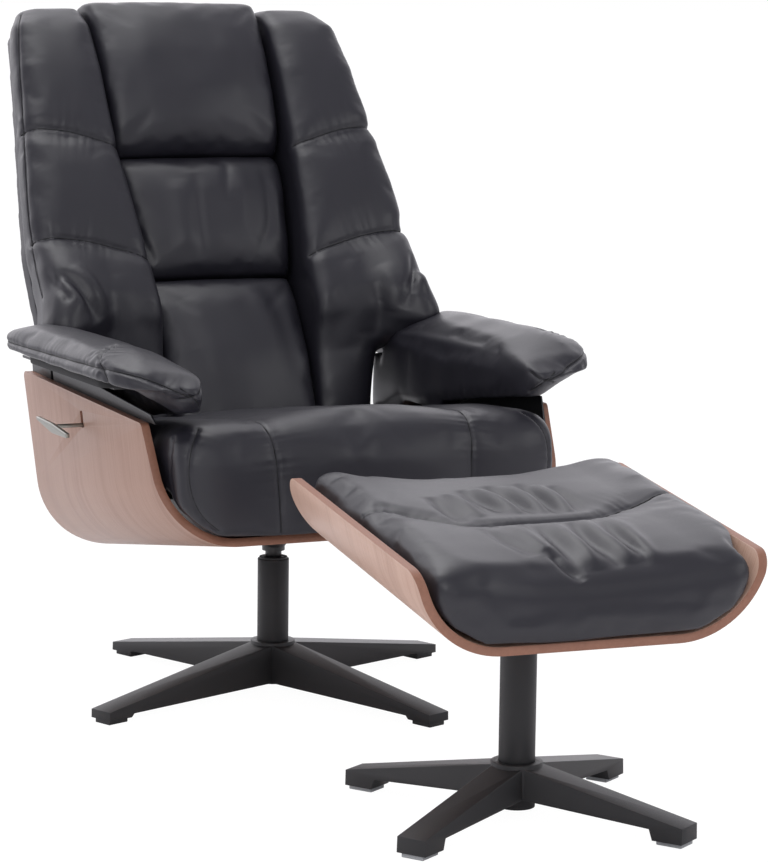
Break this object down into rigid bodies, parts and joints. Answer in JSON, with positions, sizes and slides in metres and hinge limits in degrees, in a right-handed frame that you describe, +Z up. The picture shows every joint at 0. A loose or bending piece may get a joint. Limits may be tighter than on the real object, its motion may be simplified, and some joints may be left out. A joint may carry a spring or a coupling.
{
  "type": "recliner with footstool",
  "caption": "Swivel recliner with bent plywood shells, quilted leather cushions, a release lever and a matching swivel footstool on star bases.",
  "frame": {"origin": "on the floor under the chair's swivel axis", "axes": "+Z up; the chair faces -Y, towards its footstool; +X is the sitter's left-hand side"},
  "size_m": [0.77, 1.5729, 1.0477],
  "materials": {
    "leather": "smooth near-black leather with a soft sheen",
    "walnut": "satin walnut veneer on bent plywood",
    "base_paint": "fine-textured matt black powder coat",
    "steel": "black painted steel",
    "nickel": "brushed nickel",
    "fastener": "bright zinc-plated steel",
    "base_glide": "dark plastic",
    "stool_glide": "silver-grey plastic",
    "bush": "dark bearing plastic",
    "board": "plywood covered in dark lining"
  },
  "bodies": {
    "chair_base": {"chair_star_base": "base_paint", "chair_glides": "base_glide", "chair_column_tube": "base_paint", "chair_column_bush": "bush", "chair_thrust_washer": "bush"},
    "shell": {"seat_shell": "walnut", "swivel_plate": "steel", "floor_plate": "steel", "swivel_bolts": "fastener", "swivel_post": "steel", "slide_rail_left": "steel", "slide_rail_right": "steel", "lock_housing": "steel", "lever_pin": "fastener", "back_pivot_shaft": "steel", "armrest_bracket_left": "steel", "armrest_bracket_right": "steel", "armrest_board_left": "board", "armrest_board_right": "board", "armrest_pad_left": "leather", "armrest_pad_right": "leather"},
    "back": {"back_board": "board", "back_cover": "leather", "back_frame": "steel", "lower_back_pad": "leather", "lumbar_pad": "leather", "head_pad": "leather", "wing_left": "leather", "wing_right": "leather", "back_lug_left": "steel", "back_lug_right": "steel", "back_bush_left": "bush", "back_bush_right": "bush", "link_pin_left": "fastener", "link_pin_right": "fastener"},
    "seat": {"seat_cushion": "leather", "seat_board": "board", "seat_runner_left": "steel", "seat_runner_right": "steel", "runner_glides": "bush", "lock_rod": "fastener"},
    "release_lever": {"lever_crank": "steel", "lever_rod": "fastener", "lever_handle": "nickel"},
    "stool_base": {"stool_star_base": "base_paint", "stool_glides": "stool_glide", "stool_column_tube": "base_paint", "stool_column_bush": "bush", "stool_thrust_washer": "bush"},
    "stool_top": {"stool_shell": "walnut", "stool_plate": "steel", "stool_bolts": "fastener", "stool_post": "steel", "stool_cushion": "leather"}
  },
  "joints": [
    {"name": "chair_swivel", "type": "hinge", "parent": "chair_base", "child": "shell", "pos_m": [0, 0, 0.2], "axis": [0, 0, 1], "continuous": true},
    {"name": "back_recline", "type": "hinge", "parent": "shell", "child": "back", "pos_m": [0, 0.18936, 0.3954], "axis": [-1, 0, 0], "range_deg": [0, 25]},
    {"name": "seat_slide", "type": "slide", "parent": "shell", "child": "seat", "axis": [0, -0.9874, 0.1582], "range_m": [0, 0.0524]},
    {"name": "recline_lever", "type": "hinge", "parent": "shell", "child": "release_lever", "pos_m": [0, 0.05169, 0.42063], "axis": [-1, 0, 0], "range_deg": [0, 9], "stiffness_Nm_per_rad": 2, "springref_deg": -11.46},
    {"name": "stool_place", "type": "slide", "parent": "chair_base", "child": "stool_base", "axis": [0, -1, 0], "range_m": [0, 0.35]},
    {"name": "stool_swivel", "type": "hinge", "parent": "stool_base", "child": "stool_top", "pos_m": [0.008, -0.8, 0.25], "axis": [0, 0, 1], "continuous": true}
  ],
  "couplings": [
    {"joint": "seat_slide", "follows": "back_recline", "m_per_rad": 0.12}
  ]
}
